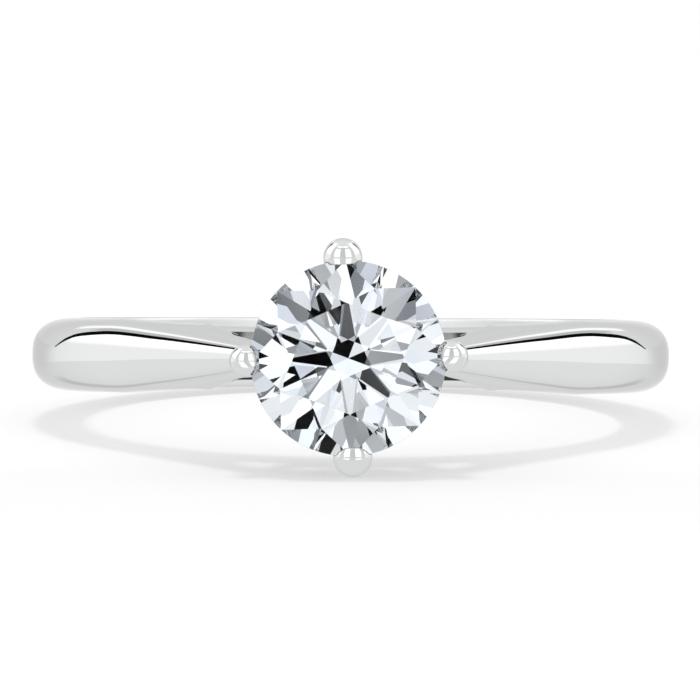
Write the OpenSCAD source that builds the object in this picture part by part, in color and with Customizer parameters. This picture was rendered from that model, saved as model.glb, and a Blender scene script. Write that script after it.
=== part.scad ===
// Solitaire engagement ring, built up piece by piece as on a jeweller's bench:
// a rounded band, two tapered cathedral shoulders, an open basket head of two
// rails and four round prongs, and a round brilliant.
//
// Frame: +Z runs along the finger hole, the stone faces -Y, and the origin is
// the centre of the finger hole. All sizes are millimetres.

/* [Band] */
// Diameter of the finger hole (17.35 is a US size 7)
finger_d = 17.35; // [15:0.05:20]
// Thickness of the band, from the finger hole to its crown
band_t = 1.675; // [1.5:0.025:1.9]
// Width of the band along the finger
band_w = 2.4; // [2.2:0.1:2.6]
// Width of the band where it passes under the stone
band_front_w = 1.9; // [1.7:0.1:2.1]

/* [Shoulders] */
// Angle from the stone's axis at which the shoulders leave the band
shoulder_angle = 53; // [52:0.5:54]
// Width of a shoulder's top face where it leaves the band
shoulder_start_w = 1.58; // [1.4:0.02:1.7]
// Width of a shoulder's top face where it reaches its prong
shoulder_end_w = 0.54; // [0.5:0.02:0.7]
// Radius of the hollow filed along each side of a shoulder
scoop_r = 2.4; // [1.8:0.1:3]
// Radius of the small window between a shoulder, the band and the prong
window_r = 1.15; // [1:0.05:1.25]

/* [Stone] */
// Diameter of the round brilliant
stone_d = 6.2; // [6:0.1:6.4]
// Table width as a percentage of the diameter
table_pct = 57; // [54:1:60]
// Slope of the crown's main facets, in degrees
crown_angle = 34.5; // [32.5:0.25:36]
// Slope of the pavilion's main facets, in degrees
pavilion_angle = 40.75; // [40:0.25:41.5]
// Thickness of the girdle as a percentage of the diameter
girdle_pct = 3.1; // [2.5:0.1:4]
// Length of the star facets as a percentage of the way to the girdle
star_pct = 50; // [45:5:55]
// Length of the lower girdle facets as a percentage of the way to the culet
lower_half_pct = 77; // [75:1:80]
// Gap between the stone's point and the band
culet_gap = 0.27; // [0.2:0.05:0.4]

/* [Head] */
// Diameter of the two prongs that lie along the finger
prong_long_d = 1.24; // [1.1:0.02:1.3]
// Diameter of the two prongs that meet the shoulders
prong_side_d = 1.06; // [1:0.02:1.12]
// How far the prongs stand out beyond the girdle
prong_proud = 0.7; // [0.64:0.02:0.74]
// How far the prongs reach in over the crown
prong_grip = 0.28; // [0.24:0.02:0.34]
// Lean of the prongs away from the stone's axis, in degrees
prong_lean = 24; // [22:1:25]
// Wire diameter of the upper gallery rail
upper_rail_d = 0.66; // [0.5:0.02:0.7]
// Wire diameter of the lower gallery rail
lower_rail_d = 0.8; // [0.7:0.05:0.9]
// Turn of the whole head about the stone's axis, in degrees
head_turn = 2; // [-2:0.5:2]

/* [Hidden] */
$fn = 96;

// Colours
white_gold = [0.86, 0.87, 0.88];
stone_white = [0.84, 0.92, 1];

// Band
finger_r = finger_d / 2;
band_r = finger_r + band_t;
side_arc_r = 1.5;          // the band's two sides are arcs of this radius
side_arc_depth = 1.3;      // the sides are furthest apart this far below the crown
crown_arc_r = 4;           // the band's outer face is slightly domed
front_taper = atan((band_w - band_front_w) / 2 / (band_r * (1 - cos(shoulder_angle))));
cutter = 20;               // larger than any stretch that it trims

// Stone, with heights measured from the middle of the girdle
stone_r = stone_d / 2;
girdle_half = stone_d * girdle_pct / 200;
facets = 8;
facet_step = 360 / facets;
table_r = stone_r * table_pct / 100;
table_half = table_r * cos(facet_step / 2);
table_z = girdle_half + (stone_r - table_r) * tan(crown_angle);
star_r = table_half + (stone_r - table_half) * star_pct / 100;
star_z = girdle_half + (stone_r - star_r * cos(facet_step / 2)) * tan(crown_angle);
upper_half_angle = atan((star_z - girdle_half) / ((stone_r - star_r) * cos(facet_step / 4)));
lower_half_r = stone_r * (1 - lower_half_pct / 100);
lower_half_drop = (stone_r - lower_half_r * cos(facet_step / 2)) * tan(pavilion_angle);
lower_half_angle = atan(lower_half_drop / ((stone_r - lower_half_r) * cos(facet_step / 4)));
pavilion_depth = stone_r * tan(pavilion_angle);
half_step = facet_step / 2;                 // a girdle facet's share of the girdle
half_cuts = 6;                              // flats along each share
girdle_cuts = 2 * facets * half_cuts;

// Head, with heights measured from the finger hole's centre towards the stone
girdle_h = band_r + culet_gap + pavilion_depth + girdle_half;
head_base_h = band_r - 0.15;
seat_gap = 0.01;           // keeps the metal just clear of the stone
rail_inset = 0.3;          // the rails run this far inside the prongs' centre lines
upper_rail_h = girdle_h - girdle_half - 1.12;
lower_rail_h = head_base_h + lower_rail_d / 2;

// Shoulders
shoulder_lead_in = 0.8;    // a shoulder starts here, where it already has some thickness
shoulder_run = 9.2;        // and ends inside its prong
window_s = 6.5;            // the window's centre along the shoulder
window_depth = 2.25;        // and below the shoulder's top face
shoulder_bed = 0.55;       // how far the shoulders wrap round the band's crown

function prong_axis_r(d) = stone_r + prong_proud - d / 2;

// Height of a prong's round top, so that it meets the crown prong_grip inside the girdle
function prong_top_h(d) =
    girdle_h + girdle_half + prong_grip * tan(crown_angle)
    - sqrt(max(pow(d / 2, 2) - pow(prong_axis_r(d) - stone_r + prong_grip, 2), 0));

// Distance of a prong's centre line from the stone's axis at height h
function prong_r_at(d, h) = prong_axis_r(d) - (prong_top_h(d) - h) * tan(prong_lean);

upper_rail_r = prong_r_at(prong_side_d, upper_rail_h) - rail_inset;
lower_rail_r = prong_r_at(prong_side_d, lower_rail_h) - rail_inset;

// Turns a shape drawn with +Z towards the stone so that the stone faces -Y
module stone_up() {
    rotate([90, 0, 0])
        children();
}

// As stone_up, with the head's own small turn
module head_frame() {
    stone_up()
        rotate([0, 0, head_turn])
            children();
}

// Frame of the right-hand shoulder: X is its outward normal, Y the finger's
// direction and Z runs up the shoulder from the point where it leaves the band
module shoulder_frame() {
    stone_up()
        rotate([0, shoulder_angle - 90, 0])
            children();
}

// ---------------------------------------------------------------- band

// Cross-section of the band, with X as the distance from the finger's centre
module band_section() {
    side_shift = side_arc_r - band_w / 2;
    intersection() {
        translate([band_r - side_arc_depth, side_shift])
            circle(side_arc_r);
        translate([band_r - side_arc_depth, -side_shift])
            circle(side_arc_r);
        translate([band_r - crown_arc_r, 0])
            circle(crown_arc_r);
        translate([finger_r, -band_w])
            square([band_t * 2, band_w * 2]);
    }
}

// Wedge that narrows one side of the band towards the stone
module front_cut() {
    translate([-cutter / 2, -band_r * cos(shoulder_angle), band_w / 2])
        rotate([front_taper, 0, 0])
            translate([0, -cutter, 0])
                cube(cutter);
}

// Narrows what it is given towards the stone, on both sides alike
module narrowed_to_front() {
    difference() {
        children();
        front_cut();
        mirror([0, 0, 1])
            front_cut();
    }
}

module band_solid() {
    narrowed_to_front()
        rotate_extrude()
            band_section();
}

module shank() {
    color(white_gold)
        band_solid();
}

// The band's outer face, filled in, which trims the feet of the head
module finger_side() {
    cylinder(r = band_r, h = band_w * 2, center = true);
}

// ---------------------------------------------------------------- prongs

// A round wire that leans outwards and ends in a half-round top
module prong_wire(d) {
    lean_run = (prong_top_h(d) - head_base_h) / cos(prong_lean);
    overrun = d;
    intersection() {
        translate([prong_axis_r(d), 0, prong_top_h(d)])
            union() {
                sphere(d = d);
                rotate([0, prong_lean - 180, 0])
                    cylinder(d = d, h = lean_run + overrun);
            }
        translate([-cutter / 2, -cutter / 2, head_base_h])
            cube(cutter);
    }
}

// Space for the stone: its own outline turned about its axis, a hair larger
module stone_seat() {
    r = stone_r + seat_gap;
    g = girdle_half + seat_gap;
    crown = 1.2;
    translate([0, 0, girdle_h])
        rotate_extrude()
            polygon([
                [0, -g - r * tan(pavilion_angle)],
                [r, -g],
                [r, g],
                [r - crown / tan(crown_angle), g + crown],
                [0, g + crown]
            ]);
}

// One finished prong, notched for the stone and round the two rails
module prong(d, angle) {
    color(white_gold)
        difference() {
            head_frame()
                rotate([0, 0, angle])
                    prong_wire(d);
            head_frame() {
                stone_seat();
                upper_rail_ring();
                lower_rail_ring();
                inside_lower_rail();
            }
            finger_side();
        }
}

module prong_east() {
    prong(prong_side_d, 0);
}

module prong_north() {
    prong(prong_long_d, 90);
}

module prong_west() {
    prong(prong_side_d, 180);
}

module prong_south() {
    prong(prong_long_d, 270);
}

// ---------------------------------------------------------------- gallery rails

module wire_ring(r, h, d) {
    translate([0, 0, h])
        rotate_extrude()
            translate([r, 0])
                circle(d = d);
}

module upper_rail_ring() {
    wire_ring(upper_rail_r, upper_rail_h, upper_rail_d);
}

module lower_rail_ring() {
    wire_ring(lower_rail_r, lower_rail_h, lower_rail_d);
}

// Room inside the lower rail, where no prong's foot may reach
module inside_lower_rail() {
    translate([0, 0, head_base_h - lower_rail_d])
        cylinder(r = lower_rail_r, h = lower_rail_d * 1.5);
}

module gallery_rail_upper() {
    color(white_gold)
        head_frame()
            upper_rail_ring();
}

// The lower rail beds on the band, which it follows
module gallery_rail_lower() {
    color(white_gold)
        difference() {
            head_frame()
                lower_rail_ring();
            finger_side();
        }
}

// ---------------------------------------------------------------- shoulders

// A round cutter along one side of a shoulder, converging on its centre line
module scoop() {
    start = shoulder_start_w / 2;
    converge = atan((shoulder_start_w - shoulder_end_w) / 2 / shoulder_run);
    overrun = 2;
    translate([band_r, start + scoop_r, 0])
        rotate([converge, 0, 0])
            translate([0, 0, -overrun])
                cylinder(r = scoop_r, h = shoulder_run + overrun * 2);
}

// Everything beyond the centre line of the prong that the shoulder meets
module beyond_prong() {
    head_frame()
        translate([prong_axis_r(prong_side_d), -cutter / 2, prong_top_h(prong_side_d)])
            rotate([0, prong_lean, 0])
                translate([-cutter, 0, -cutter])
                    cube([cutter, cutter, cutter * 2]);
}

// A bar with the band's own section, hollowed along both sides and arched
// underneath by the window
module shoulder_bar() {
    difference() {
        translate([0, 0, shoulder_lead_in])
            linear_extrude(shoulder_run - shoulder_lead_in)
                band_section();
        scoop();
        mirror([0, 1, 0])
            scoop();
        translate([band_r - window_depth, 0, window_s])
            rotate([90, 0, 0])
                cylinder(r = window_r, h = band_w * 2, center = true);
    }
}

module shoulder_solid() {
    difference() {
        narrowed_to_front()
            shoulder_frame()
                shoulder_bar();
        band_solid();
        cylinder(r = band_r - shoulder_bed, h = band_w * 2, center = true);
        beyond_prong();
        head_frame() {
            prong_wire(prong_side_d);
            lower_rail_ring();
            upper_rail_ring();
        }
    }
}

module shoulder_right() {
    color(white_gold)
        shoulder_solid();
}

// The left shoulder is the right one turned half a turn about the stone's axis
module shoulder_left() {
    color(white_gold)
        rotate([0, 180, 0])
            shoulder_solid();
}

// ---------------------------------------------------------------- stone

// A point at a distance, direction and height from the stone's axis
function polar(r, angle, z) = [r * cos(angle), r * sin(angle), z];

// How far the girdle's edge dips between two corners, where a half facet meets it
function scallop(slope, i) =
    let (from_middle = (i % half_cuts - half_cuts / 2) * half_step / half_cuts)
    stone_r * tan(slope) * (cos(from_middle) - cos(half_step / 2));

// Indices of the points listed in diamond_points()
function table_i(k) = k % facets;
function star_i(k) = facets + (k + facets) % facets;
function upper_i(i) = 2 * facets + i % girdle_cuts;
function lower_i(i) = 2 * facets + girdle_cuts + i % girdle_cuts;
function tip_i(k) = 2 * facets + 2 * girdle_cuts + (k + facets) % facets;
function culet_i() = 3 * facets + 2 * girdle_cuts;

function diamond_points() = concat(
    [for (k = [0:facets - 1]) polar(table_r, k * facet_step, table_z)],
    [for (k = [0:facets - 1]) polar(star_r, (k + 0.5) * facet_step, star_z)],
    [for (i = [0:girdle_cuts - 1])
        polar(stone_r, i * 360 / girdle_cuts, girdle_half - scallop(upper_half_angle, i))],
    [for (i = [0:girdle_cuts - 1])
        polar(stone_r, i * 360 / girdle_cuts, -girdle_half + scallop(lower_half_angle, i))],
    [for (k = [0:facets - 1])
        polar(lower_half_r, (k + 0.5) * facet_step, -girdle_half - lower_half_drop)],
    [[0, 0, -girdle_half - pavilion_depth]]
);

// The facets, each one flat, with its corners clockwise as seen from outside
function diamond_faces() = concat(
    [[for (k = [facets - 1:-1:0]) table_i(k)]],
    // stars and crown mains
    [for (k = [0:facets - 1]) [table_i(k), table_i(k + 1), star_i(k)]],
    [for (k = [0:facets - 1]) [table_i(k), star_i(k), upper_i(2 * k * half_cuts), star_i(k - 1)]],
    // upper girdle facets: half h runs along the girdle from corner h to corner h + 1
    [for (h = [0:2 * facets - 1])
        concat([star_i(floor(h / 2))], [for (i = [half_cuts:-1:0]) upper_i(h * half_cuts + i)])],
    // the girdle itself
    [for (i = [0:girdle_cuts - 1]) [upper_i(i), upper_i(i + 1), lower_i(i + 1), lower_i(i)]],
    // lower girdle facets and pavilion mains
    [for (h = [0:2 * facets - 1])
        concat([tip_i(floor(h / 2))], [for (i = [0:half_cuts]) lower_i(h * half_cuts + i)])],
    [for (k = [0:facets - 1]) [lower_i(2 * k * half_cuts), tip_i(k), culet_i(), tip_i(k - 1)]]
);

module diamond() {
    color(stone_white)
        head_frame()
            translate([0, 0, girdle_h])
                polyhedron(points = diamond_points(), faces = diamond_faces());
}

shank();
shoulder_left();
shoulder_right();
gallery_rail_upper();
gallery_rail_lower();
prong_north();
prong_east();
prong_south();
prong_west();
diamond();
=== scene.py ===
"""Looks of a white gold solitaire ring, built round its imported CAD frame.

Row frame: +Z runs along the finger hole and up in the picture, the stone faces
-Y towards the camera, and X runs across. The shapes are worked out in
millimetres and turned into metres as each mesh is made. A height, h, is
measured from the finger's centre towards the stone. A distance s runs along a
shoulder from where it leaves the band.
"""

import math

import bpy
import numpy as np
from mathutils import Matrix, Vector


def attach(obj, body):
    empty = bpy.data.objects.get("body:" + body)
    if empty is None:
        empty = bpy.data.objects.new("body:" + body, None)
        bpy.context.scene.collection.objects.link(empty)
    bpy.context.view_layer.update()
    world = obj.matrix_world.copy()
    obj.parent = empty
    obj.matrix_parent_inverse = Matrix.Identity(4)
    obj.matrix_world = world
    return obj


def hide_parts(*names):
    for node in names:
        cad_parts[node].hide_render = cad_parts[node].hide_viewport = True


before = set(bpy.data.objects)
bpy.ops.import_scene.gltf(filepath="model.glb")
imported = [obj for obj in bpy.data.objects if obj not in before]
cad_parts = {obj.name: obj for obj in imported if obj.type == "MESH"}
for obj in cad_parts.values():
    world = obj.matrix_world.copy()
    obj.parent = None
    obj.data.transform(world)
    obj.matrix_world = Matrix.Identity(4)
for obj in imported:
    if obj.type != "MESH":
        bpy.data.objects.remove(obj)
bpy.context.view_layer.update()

MM = 0.001
QUARTER_TURN = math.pi / 2
IN_DEGREES = 180 / math.pi

# Band, in millimetres. BAND_POWER is how square its dome is, and 2 would be an ellipse.
FINGER_R = 8.675
BAND_R = 10.35
BAND_HALF = 1.19
FRONT_HALF = 0.95
BAND_DOME = 1.5
BAND_POWER = 2.6
BAND_EDGE = 0.07
BAND_STEPS = 480
BAND_AROUND = 112
BAND_SAMPLES = 400
EDGE_SAMPLES = 40

# How closely a section's points crowd towards its crown, where it curves most
CROWDING = 1.5

# Shoulders: where they leave the band, and how they ease off it
SHOULDER_DEG = 53.0
SHOULDER_START = -1.38
SHOULDER_END = 8.6
SHOULDER_SKIN = 0.004
SHOULDER_EASE = 1.4
SHOULDER_SUNK = 0.75
SHOULDER_TAPER = 0.138
TAPER_RUN = 4.0
OWN_SHAPE_S = 3.0
JOIN_SOFT = (0.01, 0.16)
SHOULDER_AROUND = 200
SHOULDER_SAMPLES = 500

# Sections along a shoulder as (from, to, count), closest together where the window opens
SHOULDER_RUNS = [
    (SHOULDER_START, 5.1, 100),
    (5.1, 5.6, 30),
    (5.6, SHOULDER_END, 60),
]

# Window under a shoulder, and the scoop of a shoulder's lower sides
WINDOW_S = 6.5
WINDOW_DEPTH = 2.25
WINDOW_R = 1.15
SCOOP_R = 2.4
SCOOP_START = 0.6
SCOOP_LIMIT = 0.9

# Neck of a shoulder, where it meets its prong
NECK_X = 4.05
NECK_HALF = 0.91
NECK_TAPER = 0.36
NECK_SOFT = 0.05

# Stone
STONE_R = 3.1
GIRDLE_HALF = 0.096
GIRDLE_H = 13.387
TABLE_SHARE = 0.57
CROWN_DEG = 34.5
PAVILION_DEG = 40.75
STAR_SHARE = 0.5
LOWER_SHARE = 0.77
HEAD_TURN = 2.0
FACETS = 8
SCALLOP_CUTS = 6

# Head
HEAD_BASE_H = 10.2
PRONG_LEAN = 24.0
PRONG_TAPER = 0.16
PRONG_AROUND = 96
PRONG_CAP_ROWS = 40
PRONG_ROWS = 90
STONE_GAP = 0.008
RAIL_STEPS = 240
RAIL_AROUND = 40

# Prongs as (node, wire diameter, the top's distance from the stone's axis, the top's height,
# direction in degrees, the filed tip's distance from the stone's axis)
PRONGS = [
    ("prong_east", 1.06, 3.27, 13.45, 1.5, 2.82),
    ("prong_north", 1.24, 3.2, 13.163, 93.3, 2.98),
    ("prong_west", 1.06, 3.23, 13.45, 181.5, 2.82),
    ("prong_south", 1.26, 3.13, 13.163, 272.8, 2.75),
]

# Rails as (node, radius, height, wire radius)
RAILS = [
    ("gallery_rail_upper", 2.425, 12.171, 0.33),
    ("gallery_rail_lower", 1.725, 10.6, 0.4),
]

# Metal. The noise scales are per metre, and EDGE_TINT damps the brightening towards the rims.
METAL_TONE = 0.70
METAL_VARIES = 0.02
METAL_GREEN = 1.018
METAL_BLUE = 1.009
EDGE_TINT = 0.74
WAVE_SCALE = 900.0
WAVE_DETAIL = 5.0
WAVE_STRENGTH = 0.04
WAVE_DEPTH = 0.00002
HAIR_SCALE = 2400.0
HAIR_DETAIL = 3.0
HAIR_STRETCH = (1, 1, 14)
HAIR_SEED_STEP = 7
POLISH = 0.02
POLISH_VARIES = 0.03

# Roughness of the band's bore, and how far outside it the satin starts to show and shows fully
SATIN = 0.4
SATIN_RANGE = (0.2, 0.1)

# Painted shade in the hollow under the head, darkening the metal's colour, in metres. Each pair is where it
# starts to show and shows fully.
RECESS_SHADE_TONE = 0.04
RECESS_REACH = (0.0044, 0.0042)
RECESS_LOW = (0.0090, 0.0092)
RECESS_HIGH = (0.0116, 0.0112)
RECESS_UPPER_SIDE = (0.00083, 0.00079)
RECESS_LOWER_SIDE = (-0.00074, -0.00070)
LIT_SIDE = (0.0002, 0.0004)
LIT_REACH = (0.0036, 0.0033)
LIT_DARKNESS = 0.6

# Diamond
DIAMOND_IOR = 2.417
DIAMOND_TINT = (0.95, 0.96, 0.99, 1)
DIAMOND_CLEAR = (1, 1, 1, 1)
DIAMOND_FRONT_TINT = (0.02, 0.02, 0.02, 1)
CLOUD_SCALE = 700.0
CLOUD_DETAIL = 4.0
CLOUD_RANGE = (0.35, 0.65)
GIRDLE_ROUGH = 0.25
GIRDLE_RIM = (0.012, 0.006)
GIRDLE_FADE = 0.8

# What the stone gathers from its surroundings, as (noise, brightness) stops. A ray sees it once the count
# of surfaces that it has passed through rises over INSIDE_STONE.
INSIDE_STONE = (0.5, 0.6)
SPARKLE_SEED = 336.97
SPARKLE_SCALE = 14.0
SPARKLE = [
    (0.25, 0.0),
    (0.35, 0.003),
    (0.37, 0.10),
    (0.44, 0.43),
    (0.50, 0.81),
    (0.58, 1.03),
    (0.8, 1.5),
]
HUE_SEED_STEP = 5
HUE_SCALE = 0.8
HUE_DETAIL = 2.0
HUE_RANGE = (0.5, 0.66)
SPARKLE_WHITE = (0.95, 0.99, 1.02, 1)
SPARKLE_BLUE = (0.84, 0.90, 1.00, 1)

# Light tent, as (height in degrees, brightness) stops, in front and from SIDE_TURN round the sides
FRONT_LEVELS = [(-90, 0.95), (0, 0.9), (45, 0.9), (90, 1.05)]
SIDE_LEVELS = [
    (-90, 1.0),
    (-4, 1.0),
    (-2, 1.2),
    (11, 1.2),
    (20, 1.7),
    (50, 1.7),
    (70, 1.1),
    (90, 1.05),
]
SIDE_TURN = (77, 79)

# The tent's back starts at BACK_TURN, and up to BACK_LOW_DEG further round below BACK_LOW_HEIGHT
BACK_LEVEL = 1.03
BACK_SOFT = (-1, 1)
BACK_TURN = 132.0
BACK_LOW_DEG = 7.0
BACK_LOW_HEIGHT = 16.0

# Panels as (turn from, to, softness), (height from, to, softness), brightness. Later ones cover earlier ones.
PANELS = [
    ((17, 53, 2), (2, 48, 2), 1.7),
    ((-5, 60, 3), (58, 68, 1), 1.6),
    ((151, 160, 2), (28, 40, 2), 1.55),
    ((138, 149, 2), (33, 44, 1.5), 0.74),
    ((-5, 16, 1), (-2, 60, 4), 0.8),
]

# Dark stripe where the tent's back starts. Its half-width is a share of LINE_WIDEST degrees at each height.
LINE_SHARES = [(0, 0.02), (10, 0.10), (22, 0.27), (32, 0.60), (46, 0.70)]
LINE_WIDEST = 10.0
LINE_HEIGHTS = (0, 46, 1)
LINE_SOFT = 0.3
LINE_LEVEL = 0.004

# Table, in metres
TABLE_SIZE = 1.2
STEEPEST_TILT = 15
TILT_HALVINGS = 50
TABLE_ALBEDO = 0.35
TABLE_GLOW = 0.5
# SHADE_GLOW is a painted shadow: the table glows less in a band in front of the ring, between SHADE_BACK and
# SHADE_FRONT.
SHADE_GLOW = 0.45
SHADE_FRONT = (-0.034, -0.020)
SHADE_BACK = (-0.007, -0.014)

# What the metal mirrors of the table. Turns are in degrees round a point below the stone, which is
# TURN_CENTRE in front of the finger's centre.
TURN_CENTRE = 0.013
AROUND_LEVEL = 1.04
FAR_LEVEL = 1.2
FAR_SLOPE = 1.9
FAR_RANGE = (0.035, 0.037)
FRONT_LEVEL = 0.97
FRONT_RANGE = (-0.010, -0.013)
BEYOND_RANGE = (0.003, 0.006)
STRIP_LEVEL = 1.5
STRIP_START = (16, 19)
STRIP_END = (55, 51)
MIDDLE_LEVEL = 0.85
BEHIND_RANGE = (132, 144)
BEHIND_NEAR = 1.07
BEHIND_AWAY = 0.97
AWAY_SLOPE = 0.5
AWAY_RANGE = (0.014, 0.030)
CREASE_LEVEL = 0.80
CREASE_TURN = 138
CREASE_SOFT = (2.5, 0.5)
CREASE_RUN = (0.25, 0.02)

# Lamp, in metres and watts
LAMP_SIZE = 0.06
LAMP_AWAY = 0.3
LAMP_WATTS = 0.33
LAMP_LEAN = 3

# Camera, in metres, millimetres and degrees
CAMERA_AWAY = 0.5
CAMERA_RISE = 0.4
CAMERA_TURN = 0.33
CAMERA_ROLL = 0.24
CAMERA_TARGET = (-0.0227, 0, 0.1755)
CAMERA_LENS = 791
CAMERA_SENSOR = 36
CAMERA_CLIP = (0.01, 10)

# Bounces, of which a ray that finds its way out of the stone needs many
MOST_BOUNCES = 24
MOST_MIRRORINGS = 12


# ---------------------------------------------------------------- meshes

def add_piece(name, points, faces, material, smooth=True):
    """A mesh object from points in millimetres."""
    mesh = bpy.data.meshes.new(name)
    mesh.from_pydata((np.asarray(points, float) * MM).tolist(), [], faces)
    mesh.materials.append(material)
    mesh.polygons.foreach_set("use_smooth", [smooth] * len(mesh.polygons))
    mesh.update()
    piece = bpy.data.objects.new(name, mesh)
    bpy.context.scene.collection.objects.link(piece)
    return piece


def grid_faces(rows, cols, close_rows, close_cols):
    """Faces of a grid of points, which may close on itself either way."""
    faces = []
    for i in range(rows if close_rows else rows - 1):
        a = i * cols
        b = (i + 1) % rows * cols
        for j in range(cols if close_cols else cols - 1):
            k = (j + 1) % cols
            faces.append((a + j, a + k, b + k, b + j))
    return faces


def resampled(points, count):
    """The same curve with its points evenly spaced along it."""
    points = np.asarray(points, float)
    lengths = np.linalg.norm(np.diff(points, axis=0), axis=1)
    along = np.concatenate([[0], np.cumsum(lengths)])
    wanted = np.linspace(0, along[-1], count)
    return np.column_stack([np.interp(wanted, along, column) for column in points.T])


def mirrored_loop(upper, count):
    """A closed outline from its half above z = 0, whose second column is z."""
    lower = upper[::-1][1:-1] * [1, -1]
    return resampled(np.vstack([upper, lower, upper[:1]]), count + 1)[:-1]


def crowded(depth, count):
    """Depths from a crown down to the given one, closest together at the crown."""
    return depth * (1 - np.cos(np.linspace(0, QUARTER_TURN, count))) ** CROWDING


def ring_point(x, h, z):
    """A point given by its height towards the stone, in the row frame."""
    return (x, -h, z)


def head_point(r, degrees, h):
    """A point given by its distance and direction from the stone's axis, in the row frame."""
    a = math.radians(degrees)
    return ring_point(r * math.cos(a), h, r * math.sin(a))


# ---------------------------------------------------------------- band

def dome_half(depth, half, dome):
    """Half-width of a domed section at a depth below its crown."""
    share = np.clip(depth / dome, 0, 1)
    return half * (1 - (1 - share) ** BAND_POWER) ** (1 / BAND_POWER)


def band_half_at(h):
    """Half-width of the band, which narrows towards the stone from where the shoulders start."""
    start = BAND_R * math.cos(math.radians(SHOULDER_DEG))
    share = np.clip((h - start) / (BAND_R - start), 0, 1)
    return BAND_HALF + (FRONT_HALF - BAND_HALF) * share


def band_outline(half, count):
    """Section of the band as (distance from the finger's centre, z), closed."""
    depth = crowded(BAND_DOME, BAND_SAMPLES)
    outer = np.column_stack([BAND_R - depth, dome_half(depth, half, BAND_DOME)])
    turn = np.linspace(0, QUARTER_TURN, EDGE_SAMPLES)[1:]
    edge = np.column_stack([
        FINGER_R + BAND_EDGE * (1 - np.sin(turn)),
        half - BAND_EDGE * (1 - np.cos(turn)),
    ])
    return mirrored_loop(np.vstack([outer, edge, [[FINGER_R, 0]]]), count)


def shank_mesh():
    """The band, all the way round."""
    points = []
    for i in range(BAND_STEPS):
        a = 2 * math.pi * i / BAND_STEPS
        outline = band_outline(float(band_half_at(BAND_R * math.cos(a))), BAND_AROUND)
        points += [ring_point(rho * math.sin(a), rho * math.cos(a), z) for rho, z in outline]
    return points, grid_faces(BAND_STEPS, BAND_AROUND, True, True)


# ---------------------------------------------------------------- shoulders

def smooth_max(a, b, soft):
    """The larger of a and b, rounded over where they cross."""
    share = np.clip(0.5 + 0.5 * (a - b) / soft, 0, 1)
    return b + (a - b) * share + soft * share * (1 - share)


def ease(value, end):
    """A smooth run from 0 at 0 to 1 at end."""
    t = min(max(value / end, 0), 1)
    return t * t * (3 - 2 * t)


def shoulder_half(s):
    """Half-width of a shoulder, which narrows towards the head."""
    run = max(s, 0)
    return BAND_HALF - SHOULDER_TAPER * run * run / (run + TAPER_RUN)


def shoulder_rise(s):
    """Height of a shoulder's top line over the band's tangent at s = 0.

    The line follows the band's circle up to -SHOULDER_EASE and is straight from SHOULDER_EASE on.
    Its curvature runs out evenly in between.
    """
    ahead = max(SHOULDER_EASE - s, 0)
    return SHOULDER_SKIN + (2 * SHOULDER_EASE ** 2 - ahead ** 3 / SHOULDER_EASE) / (12 * BAND_R)


def shoulder_floor(s):
    """Depth at which a shoulder ends: inside the band, or over the window."""
    sunk = BAND_R - math.sqrt(BAND_R ** 2 - s * s) + SHOULDER_SUNK
    if s < WINDOW_S - WINDOW_R:
        return sunk
    from_middle = min(s - WINDOW_S, 0)
    arch = WINDOW_DEPTH - math.sqrt(max(WINDOW_R ** 2 - from_middle ** 2, 0))
    return min(sunk, arch)


def shoulder_place(s, depth):
    """Where a point of a shoulder lies, as (x, h)."""
    a = math.radians(SHOULDER_DEG)
    up = BAND_R + shoulder_rise(s) - depth
    return up * math.sin(a) - s * math.cos(a), up * math.cos(a) + s * math.sin(a)


def shoulder_section(s, count):
    """Outline of a shoulder at a distance along it, as (depth, z), closed.

    It starts as a skin over the band and comes into its own shape by OWN_SHAPE_S.
    """
    half = shoulder_half(s)
    own = ease(s, OWN_SHAPE_S)
    dome = BAND_DOME * half / BAND_HALF
    end = shoulder_floor(s)
    depth = crowded(end, SHOULDER_SAMPLES)
    flare = np.clip(depth - SCOOP_START * dome, 0, SCOOP_R * SCOOP_LIMIT)
    scoop = SCOOP_R - np.sqrt(SCOOP_R ** 2 - flare ** 2)
    arm = dome_half(depth, half, dome) + scoop * own
    x, h = shoulder_place(s, depth)
    rho = np.hypot(x, h)
    band = np.where(rho < BAND_R, dome_half(BAND_R - rho, band_half_at(h), BAND_DOME), 0)
    soft = JOIN_SOFT[0] + (JOIN_SOFT[1] - JOIN_SOFT[0]) * own
    wide = smooth_max(arm, band + SHOULDER_SKIN, soft)
    wide = wide - wide[0]
    neck = NECK_HALF + NECK_TAPER * (x - NECK_X)
    wide = -smooth_max(-wide, -neck, NECK_SOFT)
    wide = wide - wide[0]
    return mirrored_loop(np.vstack([np.column_stack([depth, wide]), [[end, 0]]]), count)


def shoulder_mesh(side):
    """side is 1 for the right-hand shoulder and -1 for the left-hand one, which is turned half round."""
    along = np.unique(np.concatenate([np.linspace(*run) for run in SHOULDER_RUNS]))
    around = SHOULDER_AROUND
    points = []
    for s in along:
        for depth, z in shoulder_section(float(s), around):
            x, h = shoulder_place(s, depth)
            points.append(ring_point(side * x, h, side * z))
    faces = grid_faces(len(along), around, False, True)
    for row, order in ((0, -1), (len(along) - 1, 1)):
        first = len(points)
        points += points[row * around:(row + 1) * around]
        faces.append(tuple(range(first, first + around))[::order])
    return points, faces


# ---------------------------------------------------------------- head

def stone_reach(h):
    """Distance from the stone's axis to its outline at a height."""
    up = h - GIRDLE_H - GIRDLE_HALF
    down = GIRDLE_H - GIRDLE_HALF - h
    if up > 0:
        return STONE_R - up / math.tan(math.radians(CROWN_DEG))
    if down > 0:
        return STONE_R - down / math.tan(math.radians(PAVILION_DEG))
    return STONE_R


def notched(point, tip_r):
    """A point of a prong kept above the head's base, outside the filed tip and clear of the stone."""
    out, across, up = point
    up = max(up, HEAD_BASE_H)
    if up > GIRDLE_H:
        out = max(out, tip_r)
    wanted = stone_reach(up) + STONE_GAP
    if math.hypot(out, across) < wanted:
        out = math.sqrt(max(wanted ** 2 - across ** 2, 0))
    return out, across, up


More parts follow.
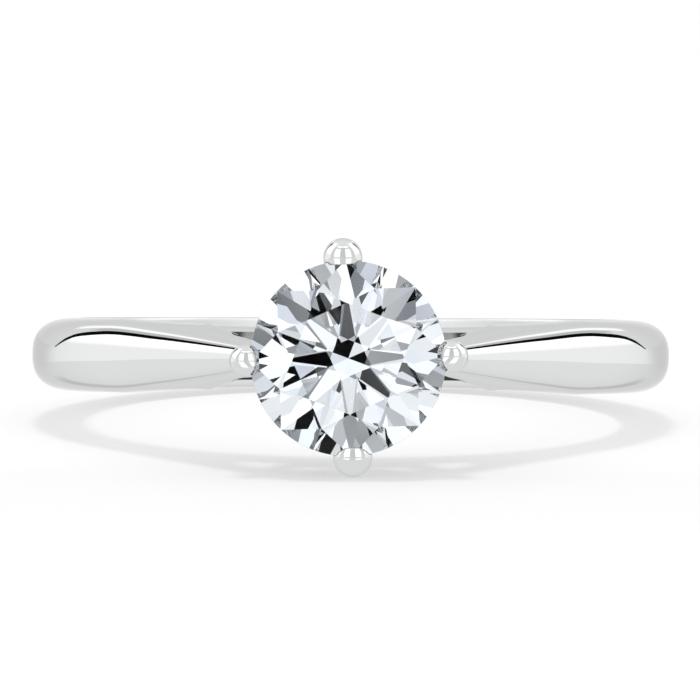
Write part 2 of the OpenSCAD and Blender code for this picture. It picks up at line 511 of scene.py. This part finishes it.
def prong_mesh(d, axis_r, top_h, degrees, tip_r):
    """A leaning round wire with a half-round top, notched where it holds the stone.

    Its tip is filed flat at tip_r from the stone's axis.
    """
    lean = math.radians(PRONG_LEAN)
    around = PRONG_AROUND
    r = d / 2
    length = (top_h - HEAD_BASE_H) / math.cos(lean)
    down = np.array([-math.sin(lean), 0, -math.cos(lean)])
    out = np.array([math.cos(lean), 0, -math.sin(lean)])
    across = np.array([0, 1, 0])
    centre = np.array([axis_r, 0, top_h])
    cap = [(-r * math.cos(t), r * math.sin(t)) for t in np.linspace(0, QUARTER_TURN, PRONG_CAP_ROWS)[1:]]
    wire = [(x, r * (1 - PRONG_TAPER * x / length)) for x in np.linspace(0, length, PRONG_ROWS)[1:]]
    rows = cap + wire
    points = []
    for x, radius in rows:
        for i in range(around):
            t = 2 * math.pi * i / around
            rim = radius * (math.cos(t) * out + math.sin(t) * across)
            points.append(notched(centre + down * x + rim, tip_r))
    faces = grid_faces(len(rows), around, False, True)
    first = len(points)
    points.append(centre - down * r)
    points.append(centre + down * length)
    last = (len(rows) - 1) * around
    for i in range(around):
        k = (i + 1) % around
        faces.append((first, k, i))
        faces.append((first + 1, last + i, last + k))
    cos = math.cos(math.radians(degrees))
    sin = math.sin(math.radians(degrees))
    placed = [ring_point(x * cos - y * sin, h, x * sin + y * cos) for x, y, h in points]
    return placed, faces


def rail_mesh(r, h, wire):
    """A ring of round wire about the stone's axis."""
    points = []
    for i in range(RAIL_STEPS):
        for j in range(RAIL_AROUND):
            t = 2 * math.pi * j / RAIL_AROUND
            points.append(head_point(r + wire * math.cos(t), 360 * i / RAIL_STEPS, h + wire * math.sin(t)))
    return points, grid_faces(RAIL_STEPS, RAIL_AROUND, True, True)


# ---------------------------------------------------------------- stone

def diamond_mesh():
    """A round brilliant of 57 flat facets and a fine girdle."""
    step = 360 / FACETS
    edge = 2 * FACETS * SCALLOP_CUTS
    crown = math.tan(math.radians(CROWN_DEG))
    pavilion = math.tan(math.radians(PAVILION_DEG))
    half = math.cos(math.radians(step / 2))
    quarter = math.cos(math.radians(step / 4))
    table_r = STONE_R * TABLE_SHARE
    table_z = GIRDLE_HALF + (STONE_R - table_r) * crown
    star_r = table_r * half + (STONE_R - table_r * half) * STAR_SHARE
    star_z = GIRDLE_HALF + (STONE_R - star_r * half) * crown
    lower_r = STONE_R * (1 - LOWER_SHARE)
    lower_drop = (STONE_R - lower_r * half) * pavilion
    upper_slope = (star_z - GIRDLE_HALF) / ((STONE_R - star_r) * quarter)
    lower_slope = lower_drop / ((STONE_R - lower_r) * quarter)

    def scallop(slope, i):
        """How far a flat facet's edge on the round girdle dips or rises at a cut."""
        from_middle = (i % SCALLOP_CUTS - SCALLOP_CUTS / 2) * step / 2 / SCALLOP_CUTS
        return STONE_R * slope * (math.cos(math.radians(from_middle)) - quarter)

    def point(r, degrees, z):
        return head_point(r, degrees + HEAD_TURN, GIRDLE_H + z)

    def girdle_point(i, z):
        return point(STONE_R, i * 360 / edge, z)

    points = [point(table_r, k * step, table_z) for k in range(FACETS)]
    points += [point(star_r, (k + 0.5) * step, star_z) for k in range(FACETS)]
    points += [girdle_point(i, GIRDLE_HALF - scallop(upper_slope, i)) for i in range(edge)]
    points += [girdle_point(i, scallop(lower_slope, i) - GIRDLE_HALF) for i in range(edge)]
    points += [point(lower_r, (k + 0.5) * step, -GIRDLE_HALF - lower_drop) for k in range(FACETS)]
    points += [point(0, 0, -GIRDLE_HALF - STONE_R * pavilion)]

    def table(k):
        return k % FACETS

    def star(k):
        return FACETS + k % FACETS

    def upper(i):
        return 2 * FACETS + i % edge

    def lower(i):
        return 2 * FACETS + edge + i % edge

    def tip(k):
        return 2 * FACETS + 2 * edge + k % FACETS

    culet = len(points) - 1
    faces = [tuple(range(FACETS))]
    for k in range(FACETS):
        main = 2 * k * SCALLOP_CUTS
        faces.append((table(k), star(k), table(k + 1)))
        faces.append((table(k), star(k - 1), upper(main), star(k)))
        faces.append((lower(main), tip(k - 1), culet, tip(k)))
    for h in range(2 * FACETS):
        corners = range(h * SCALLOP_CUTS, (h + 1) * SCALLOP_CUTS + 1)
        faces.append((star(h // 2), *[upper(i) for i in corners]))
        faces.append((tip(h // 2), *[lower(i) for i in reversed(corners)]))
    for i in range(edge):
        faces.append((upper(i), lower(i), lower(i + 1), upper(i + 1)))
    return points, faces


# ---------------------------------------------------------------- shader nodes

class Nodes:
    """Builds a node tree with short calls."""

    def __init__(self, owner):
        """owner is a material or a world, whose own nodes are cleared."""
        owner.use_nodes = True
        self.tree = owner.node_tree
        self.tree.nodes.clear()

    def add(self, kind, **settings):
        node = self.tree.nodes.new(kind)
        for key, value in settings.items():
            setattr(node, key, value)
        return node

    def link(self, source, target):
        self.tree.links.new(source, target)

    def put(self, socket, value):
        if isinstance(value, bpy.types.NodeSocket):
            self.link(value, socket)
        else:
            socket.default_value = value

    def finish(self, shader, output_kind):
        self.link(shader, self.add(output_kind).inputs["Surface"])

    def math(self, operation, *values, clamp=False):
        node = self.add("ShaderNodeMath", operation=operation, use_clamp=clamp)
        for socket, value in zip(node.inputs, values):
            self.put(socket, value)
        return node.outputs[0]

    def product(self, first, *rest):
        for value in rest:
            first = self.math("MULTIPLY", first, value)
        return first

    def distance(self, a, b):
        """Distance from the origin to (a, b)."""
        return self.math("SQRT", self.math("ADD", self.product(a, a), self.product(b, b)))

    def place(self):
        """Position on the object, in metres."""
        return self.add("ShaderNodeTexCoord").outputs["Object"]

    def split(self, vector):
        node = self.add("ShaderNodeSeparateXYZ")
        self.link(vector, node.inputs["Vector"])
        return node.outputs["X"], node.outputs["Y"], node.outputs["Z"]

    def noise(self, vector, scale, detail, seed=None):
        node = self.add("ShaderNodeTexNoise", noise_dimensions="3D" if seed is None else "4D")
        self.link(vector, node.inputs["Vector"])
        self.put(node.inputs["Scale"], scale)
        self.put(node.inputs["Detail"], detail)
        if seed is not None:
            self.put(node.inputs["W"], seed)
        return node.outputs["Fac"]

    def blend(self, share, a, b):
        """A number from a, where share is 0, to b, where it is 1."""
        node = self.add("ShaderNodeMix", data_type="FLOAT")
        self.put(node.inputs["Factor"], share)
        self.put(node.inputs["A"], a)
        self.put(node.inputs["B"], b)
        return node.outputs["Result"]

    def colour_blend(self, share, a, b, kind="MIX"):
        node = self.add("ShaderNodeMix", data_type="RGBA", blend_type=kind)
        self.put(node.inputs["Factor"], share)
        self.put(node.inputs["A"], a)
        self.put(node.inputs["B"], b)
        return node.outputs["Result"]

    def colour(self, red, green, blue):
        node = self.add("ShaderNodeCombineColor")
        for channel, value in (("Red", red), ("Green", green), ("Blue", blue)):
            self.link(value, node.inputs[channel])
        return node.outputs["Color"]

    def step(self, value, start, end):
        """0 at start and 1 at end, which may be the smaller of the two."""
        if start > end:
            return self.math("SUBTRACT", 1.0, self.step(value, end, start))
        node = self.add("ShaderNodeMapRange", interpolation_type="SMOOTHSTEP")
        self.put(node.inputs["Value"], value)
        self.put(node.inputs["From Min"], start)
        self.put(node.inputs["From Max"], end)
        return node.outputs["Result"]

    def between(self, value, start, end, soft):
        """1 between start and end, and 0 outside, with soft edges."""
        rise = self.step(value, start - soft, start + soft)
        return self.product(rise, self.step(value, end + soft, end - soft))

    def curve(self, value, stops):
        """A run of straight lines through (value, level) stops."""
        low, high = stops[0][0], stops[-1][0]
        scaled = self.add("ShaderNodeMapRange")
        self.put(scaled.inputs["Value"], value)
        self.put(scaled.inputs["From Min"], low)
        self.put(scaled.inputs["From Max"], high)
        ramp = self.add("ShaderNodeValToRGB")
        ramp.color_ramp.interpolation = "LINEAR"
        elements = ramp.color_ramp.elements
        while len(elements) < len(stops):
            elements.new(0.5)
        for element, (at, level) in zip(elements, stops):
            element.position = (at - low) / (high - low)
            element.color = (level, level, level, 1)
        self.link(scaled.outputs["Result"], ramp.inputs["Fac"])
        return ramp.outputs["Color"]


def painted_recess_shade(nodes, place):
    """1 in the hollow between the head and the band, where shade is painted into the metal's colour, and 0
    elsewhere.

    Light reaches the upper side of the hollow close to the stone, so the painted shade is less dark there.
    """
    x, y, z = nodes.split(place)
    from_axis = nodes.distance(x, z)
    height = nodes.product(y, -1)
    sides = nodes.product(nodes.step(z, *RECESS_UPPER_SIDE), nodes.step(z, *RECESS_LOWER_SIDE))
    depths = nodes.product(nodes.step(height, *RECESS_LOW), nodes.step(height, *RECESS_HIGH))
    lit = nodes.product(nodes.step(z, *LIT_SIDE), nodes.step(from_axis, *LIT_REACH))
    shaded = nodes.product(sides, nodes.blend(lit, 1.0, LIT_DARKNESS))
    return nodes.product(nodes.step(from_axis, *RECESS_REACH), depths, shaded)


def satin_bore(nodes, place):
    """1 on the inside of the band, which is left satin, and 0 elsewhere."""
    x, y, _ = nodes.split(place)
    return nodes.step(nodes.distance(x, y), *[(FINGER_R + outside) * MM for outside in SATIN_RANGE])


def white_gold(name, seed, hollow):
    """Mirror-polished rhodium plate, with faint polishing waves and hairlines.

    Where hollow is true it also has the satin bore and painted shade in the hollow under the head.
    """
    material = bpy.data.materials.new(name)
    nodes = Nodes(material)
    place = nodes.place()
    waves = nodes.noise(place, WAVE_SCALE, WAVE_DETAIL, seed)
    stretched = nodes.add("ShaderNodeMapping")
    nodes.link(place, stretched.inputs["Vector"])
    stretched.inputs["Scale"].default_value = HAIR_STRETCH
    hairs = nodes.noise(stretched.outputs["Vector"], HAIR_SCALE, HAIR_DETAIL, seed + HAIR_SEED_STEP)
    level = nodes.math("MULTIPLY_ADD", waves, METAL_VARIES, METAL_TONE - METAL_VARIES / 2)
    rough = nodes.math("MULTIPLY_ADD", hairs, POLISH_VARIES, POLISH)
    if hollow:
        # Painted shade: the hollow under the head is darkened in the metal's colour.
        level = nodes.blend(painted_recess_shade(nodes, place), level, RECESS_SHADE_TONE)
        rough = nodes.blend(satin_bore(nodes, place), rough, SATIN)
    shader = nodes.add("ShaderNodeBsdfPrincipled")
    shader.inputs["Metallic"].default_value = 1
    shader.inputs["Specular Tint"].default_value = (EDGE_TINT, EDGE_TINT, EDGE_TINT, 1)
    colour = nodes.colour(level, nodes.product(level, METAL_GREEN), nodes.product(level, METAL_BLUE))
    nodes.link(colour, shader.inputs["Base Color"])
    nodes.link(rough, shader.inputs["Roughness"])
    bump = nodes.add("ShaderNodeBump")
    bump.inputs["Strength"].default_value = WAVE_STRENGTH
    bump.inputs["Distance"].default_value = WAVE_DEPTH
    nodes.link(waves, bump.inputs["Height"])
    nodes.link(bump.outputs["Normal"], shader.inputs["Normal"])
    nodes.finish(shader.outputs["BSDF"], "ShaderNodeOutputMaterial")
    return material


def diamond_material():
    """Polished diamond, a breath cloudy and with a fine-ground girdle."""
    material = bpy.data.materials.new("diamond")
    nodes = Nodes(material)
    place = nodes.place()
    cloud = nodes.step(nodes.noise(place, CLOUD_SCALE, CLOUD_DETAIL), *CLOUD_RANGE)
    x, y, z = nodes.split(place)
    off_girdle = nodes.math("ABSOLUTE", nodes.math("ADD", y, GIRDLE_H * MM))
    rim = nodes.step(nodes.distance(x, z), *[(STONE_R - inset) * MM for inset in GIRDLE_RIM])
    level = nodes.step(off_girdle, GIRDLE_HALF * MM, GIRDLE_HALF * GIRDLE_FADE * MM)
    shader = nodes.add("ShaderNodeBsdfPrincipled")
    nodes.link(nodes.colour_blend(cloud, DIAMOND_TINT, DIAMOND_CLEAR), shader.inputs["Base Color"])
    nodes.link(nodes.product(rim, level, GIRDLE_ROUGH), shader.inputs["Roughness"])
    shader.inputs["IOR"].default_value = DIAMOND_IOR
    shader.inputs["Transmission Weight"].default_value = 1
    shader.inputs["Specular Tint"].default_value = DIAMOND_FRONT_TINT
    nodes.finish(shader.outputs["BSDF"], "ShaderNodeOutputMaterial")
    return material


# ---------------------------------------------------------------- surroundings

def tent_level(nodes, way):
    """Brightness of the light tent: white panels in front and to both sides, and a plain back."""
    x, y, z = nodes.split(way)
    height = nodes.product(nodes.math("ARCSINE", z), IN_DEGREES)
    turn = nodes.math("ARCTAN2", nodes.math("ABSOLUTE", x), nodes.product(y, -1))
    turn = nodes.product(turn, IN_DEGREES)
    low = nodes.math("SUBTRACT", 1.0, nodes.math("DIVIDE", height, BACK_LOW_HEIGHT), clamp=True)
    back_edge = nodes.math("MULTIPLY_ADD", nodes.product(low, low), BACK_LOW_DEG, BACK_TURN)
    from_edge = nodes.math("SUBTRACT", turn, back_edge)

    level = nodes.curve(height, FRONT_LEVELS)
    level = nodes.blend(nodes.step(turn, *SIDE_TURN), level, nodes.curve(height, SIDE_LEVELS))
    level = nodes.blend(nodes.step(from_edge, *BACK_SOFT), level, BACK_LEVEL)
    for turns, heights, brightness in PANELS:
        panel = nodes.product(nodes.between(turn, *turns), nodes.between(height, *heights))
        level = nodes.blend(panel, level, brightness)
    half_width = nodes.product(nodes.curve(height, LINE_SHARES), LINE_WIDEST)
    off_line = nodes.math("SUBTRACT", nodes.math("ABSOLUTE", from_edge), half_width)
    line = nodes.product(nodes.step(off_line, LINE_SOFT, -LINE_SOFT), nodes.between(height, *LINE_HEIGHTS))
    return nodes.blend(line, level, LINE_LEVEL)


def sparkle_colour(nodes, way):
    """The light and dark patches that only rays which have passed into the stone see."""
    patches = nodes.noise(way, SPARKLE_SCALE, 0.0, SPARKLE_SEED)
    hue = nodes.noise(way, SPARKLE_SCALE * HUE_SCALE, HUE_DETAIL, SPARKLE_SEED + HUE_SEED_STEP)
    tint = nodes.colour_blend(nodes.step(hue, *HUE_RANGE), SPARKLE_WHITE, SPARKLE_BLUE)
    return nodes.colour_blend(1.0, nodes.curve(patches, SPARKLE), tint, "MULTIPLY")


def make_world():
    """The tent for most rays, and the patches for rays that have passed into the stone."""
    world = bpy.data.worlds.new("tent")
    bpy.context.scene.world = world
    nodes = Nodes(world)
    way = nodes.add("ShaderNodeTexCoord").outputs["Generated"]
    depth = nodes.add("ShaderNodeLightPath").outputs["Transmission Depth"]
    inside = nodes.step(depth, *INSIDE_STONE)
    seen = nodes.colour_blend(inside, tent_level(nodes, way), sparkle_colour(nodes, way))
    light = nodes.add("ShaderNodeBackground")
    nodes.link(seen, light.inputs["Color"])
    light.inputs["Strength"].default_value = 1
    nodes.finish(light.outputs["Background"], "ShaderNodeOutputWorld")


def resting_tilt(pieces):
    """Slope of the plane that a prong in front and the band's back rest on, and its distance from the
    origin.
    """
    points = np.vstack([np.array([v.co for v in piece.data.vertices]) for piece in pieces])
    in_front = points[points[:, 1] < 0]
    at_back = points[points[:, 1] > 0]

    def lowest(group, tilt):
        return (group[:, 2] * math.cos(tilt) - group[:, 1] * math.sin(tilt)).min()

    low, high = 0.0, math.radians(STEEPEST_TILT)
    for _ in range(TILT_HALVINGS):
        tilt = (low + high) / 2
        if lowest(in_front, tilt) < lowest(at_back, tilt):
            low = tilt
        else:
            high = tilt
    return tilt, lowest(in_front, tilt)


def mirrored_table(nodes, x, y):
    """Brightness of the table as the metal mirrors it."""
    aside = nodes.math("ABSOLUTE", x)
    before = nodes.product(nodes.math("ADD", y, TURN_CENTRE), -1)
    turn = nodes.product(nodes.math("ARCTAN2", aside, before), IN_DEGREES)
    beyond = nodes.step(before, *BEYOND_RANGE)
    far = nodes.step(nodes.math("ADD", aside, nodes.product(y, FAR_SLOPE)), *FAR_RANGE)
    away = nodes.step(nodes.math("SUBTRACT", aside, nodes.product(before, AWAY_SLOPE)), *AWAY_RANGE)
    off_crease = nodes.math("ABSOLUTE", nodes.math("SUBTRACT", turn, CREASE_TURN))
    strips = nodes.product(nodes.step(turn, *STRIP_START), nodes.step(turn, *STRIP_END), beyond)
    middle = nodes.product(nodes.step(turn, *reversed(STRIP_START)), beyond)
    crease = nodes.product(nodes.step(off_crease, *CREASE_SOFT), nodes.step(away, *CREASE_RUN))

    level = nodes.blend(far, AROUND_LEVEL, FAR_LEVEL)
    level = nodes.blend(nodes.step(y, *FRONT_RANGE), level, FRONT_LEVEL)
    level = nodes.blend(strips, level, STRIP_LEVEL)
    level = nodes.blend(middle, level, MIDDLE_LEVEL)
    level = nodes.blend(nodes.step(turn, *BEHIND_RANGE), level, nodes.blend(away, BEHIND_NEAR, BEHIND_AWAY))
    return nodes.blend(crease, level, CREASE_LEVEL)


def table_material():
    """White for the camera, with room for shadows, and a light of its own in the metal's mirror image."""
    material = bpy.data.materials.new("table_white")
    nodes = Nodes(material)
    x, y, _ = nodes.split(nodes.place())
    direct = nodes.add("ShaderNodeLightPath").outputs["Is Camera Ray"]
    # Painted shadow: for the camera the table's glow drops in a band in front of the ring.
    shade = nodes.product(nodes.step(y, *SHADE_BACK), nodes.step(y, *SHADE_FRONT))
    glow = nodes.blend(direct, mirrored_table(nodes, x, y), nodes.blend(shade, TABLE_GLOW, SHADE_GLOW))
    albedo = nodes.product(direct, TABLE_ALBEDO)
    paint = nodes.add("ShaderNodeBsdfPrincipled")
    nodes.link(nodes.colour(albedo, albedo, albedo), paint.inputs["Base Color"])
    paint.inputs["Roughness"].default_value = 1
    paint.inputs["Specular IOR Level"].default_value = 0
    paint.inputs["Emission Color"].default_value = (1, 1, 1, 1)
    nodes.link(glow, paint.inputs["Emission Strength"])
    nodes.finish(paint.outputs["BSDF"], "ShaderNodeOutputMaterial")
    return material


def make_floor(tilt, drop):
    """A large white table, tilted to touch the ring."""
    corners = []
    for u, v in ((-1, -1), (1, -1), (1, 1), (-1, 1)):
        y = v * TABLE_SIZE * math.cos(tilt) - drop * math.sin(tilt)
        z = v * TABLE_SIZE * math.sin(tilt) + drop * math.cos(tilt)
        corners.append((u * TABLE_SIZE / MM, y / MM, z / MM))
    floor = add_piece("table", corners, [(0, 1, 2, 3)], table_material(), smooth=False)
    floor.visible_transmission = False


def make_light(tilt):
    """A soft box above the table, a little to the left."""
    lamp = bpy.data.lights.new("soft_box", "AREA")
    lamp.shape = "SQUARE"
    lamp.size = LAMP_SIZE
    lamp.energy = LAMP_WATTS
    soft_box = bpy.data.objects.new("soft_box", lamp)
    bpy.context.scene.collection.objects.link(soft_box)
    lean = math.radians(LAMP_LEAN)
    up = Vector((-math.sin(lean), -math.sin(tilt) * math.cos(lean), math.cos(tilt) * math.cos(lean)))
    soft_box.visible_glossy = False
    soft_box.location = up * LAMP_AWAY
    soft_box.rotation_euler = up.to_track_quat("Z", "Y").to_euler()


def make_camera():
    """The photographer's long lens, level with the stone."""
    rise = math.radians(CAMERA_RISE)
    turn = math.radians(CAMERA_TURN)
    lens = bpy.data.cameras.new("camera")
    lens.sensor_width = CAMERA_SENSOR
    lens.lens = CAMERA_LENS
    lens.clip_start, lens.clip_end = CAMERA_CLIP
    camera = bpy.data.objects.new("camera", lens)
    bpy.context.scene.collection.objects.link(camera)
    back = Vector((math.sin(turn) * math.cos(rise), -math.cos(turn) * math.cos(rise), math.sin(rise)))
    camera.matrix_world = (
        Matrix.Translation(Vector(CAMERA_TARGET) * MM + back * CAMERA_AWAY)
        @ back.to_track_quat("Z", "Y").to_matrix().to_4x4()
        @ Matrix.Rotation(math.radians(CAMERA_ROLL), 4, "Z")
    )
    bpy.context.scene.camera = camera


def set_look():
    """Colours shown as they are, and enough bounces for the stone."""
    scene = bpy.context.scene
    scene.view_settings.view_transform = "Standard"
    scene.cycles.max_bounces = MOST_BOUNCES
    scene.cycles.glossy_bounces = MOST_MIRRORINGS
    scene.cycles.transmission_bounces = MOST_BOUNCES
    scene.cycles.caustics_reflective = True
    scene.cycles.caustics_refractive = True


# ---------------------------------------------------------------- the ring

plate = white_gold("white_gold", seed=1.0, hollow=True)
open_plate = white_gold("white_gold_open", seed=4.0, hollow=False)

SHAPES = [
    ("shank", shank_mesh(), plate),
    ("shoulder_left", shoulder_mesh(-1), open_plate),
    ("shoulder_right", shoulder_mesh(1), open_plate),
]
SHAPES += [(node, rail_mesh(*sizes), plate) for node, *sizes in RAILS]
SHAPES += [(node, prong_mesh(*sizes), plate) for node, *sizes in PRONGS]

pieces = []
for node, (points, faces), material in SHAPES:
    piece = add_piece(node + "_look", points, faces, material)
    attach(piece, "root")
    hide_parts(node)
    pieces.append(piece)

stone = add_piece("diamond_look", *diamond_mesh(), diamond_material(), smooth=False)
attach(stone, "root")
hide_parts("diamond")

make_world()
table_tilt, table_drop = resting_tilt(pieces)
make_floor(table_tilt, table_drop)
make_light(table_tilt)
make_camera()
set_look()
